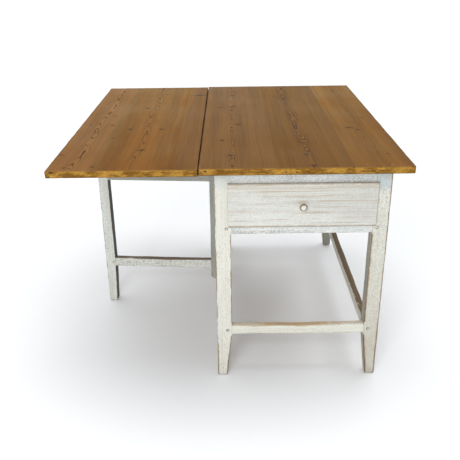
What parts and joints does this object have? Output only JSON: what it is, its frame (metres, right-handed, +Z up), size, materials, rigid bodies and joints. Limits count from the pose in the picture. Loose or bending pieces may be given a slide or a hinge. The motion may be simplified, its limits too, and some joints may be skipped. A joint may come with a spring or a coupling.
{
  "type": "drop-leaf table",
  "caption": "Single-leaf drop-leaf table with a swinging gate leg, tapered legs joined by stretchers, and a lipped drawer with a turned knob in the end.",
  "frame": {"origin": "on the floor, under the middle of the top with its leaf raised", "axes": "+X to the right of someone at the drawer, away from the leaf; +Y from the drawer to the back; +Z up"},
  "size_m": [1.048, 1.132, 0.75],
  "materials": {
    "top_wood": "waxed pine",
    "painted_wood": "worn off-white paint",
    "raw_wood": "unfinished pine",
    "iron": "darkened"
  },
  "bodies": {
    "frame": {"fixed_board_left": "top_wood", "fixed_board_middle": "top_wood", "fixed_board_right": "top_wood", "leg_front_left": "painted_wood", "leg_front_right": "painted_wood", "leg_back_left": "painted_wood", "leg_back_right": "painted_wood", "top_rail": "painted_wood", "drawer_rail": "painted_wood", "apron_left": "painted_wood", "apron_right": "painted_wood", "apron_back": "painted_wood", "stretcher_front": "painted_wood", "stretcher_back": "painted_wood", "stretcher_left": "painted_wood", "stretcher_right": "painted_wood", "pegs_front": "painted_wood", "pegs_back": "painted_wood", "pegs_left": "painted_wood", "pegs_right": "painted_wood", "runner_left": "raw_wood", "runner_right": "raw_wood", "guide_left": "raw_wood", "guide_right": "raw_wood", "kicker_left": "raw_wood", "kicker_right": "raw_wood", "top_buttons": "raw_wood", "button_screws": "iron", "leaf_hinge_fixed_plates": "iron", "leaf_hinge_pins": "iron", "leaf_hinge_fixed_screws": "iron", "gate_hinge_frame_plates": "iron", "gate_hinge_pins": "iron", "gate_hinge_frame_screws": "iron"},
    "leaf": {"leaf_board_inner": "top_wood", "leaf_board_middle": "top_wood", "leaf_board_outer": "top_wood", "leaf_hinge_leaf_plates": "iron", "leaf_hinge_leaf_screws": "iron"},
    "gate": {"gate_leg": "painted_wood", "gate_stile": "painted_wood", "gate_top_rail": "painted_wood", "gate_stretcher": "painted_wood", "gate_pegs": "painted_wood", "gate_hinge_gate_plates": "iron", "gate_hinge_gate_screws": "iron"},
    "drawer": {"drawer_front": "painted_wood", "drawer_side_left": "raw_wood", "drawer_side_right": "raw_wood", "drawer_back": "raw_wood", "drawer_bottom": "raw_wood", "drawer_knob": "painted_wood"}
  },
  "joints": [
    {"name": "drawer_slide", "type": "slide", "parent": "frame", "child": "drawer", "axis": [0, -1, 0], "range_m": [0, 0.4]},
    {"name": "gate_swing", "type": "hinge", "parent": "frame", "child": "gate", "pos_m": [-0.0393, -0.0085, 0.4], "axis": [0, 0, 1], "range_deg": [-85.5, 4.5]},
    {"name": "leaf_hinge", "type": "hinge", "parent": "frame", "child": "leaf", "pos_m": [-0.0915, 0, 0.7248], "axis": [0, 1, 0], "range_deg": [0, 5]}
  ]
}
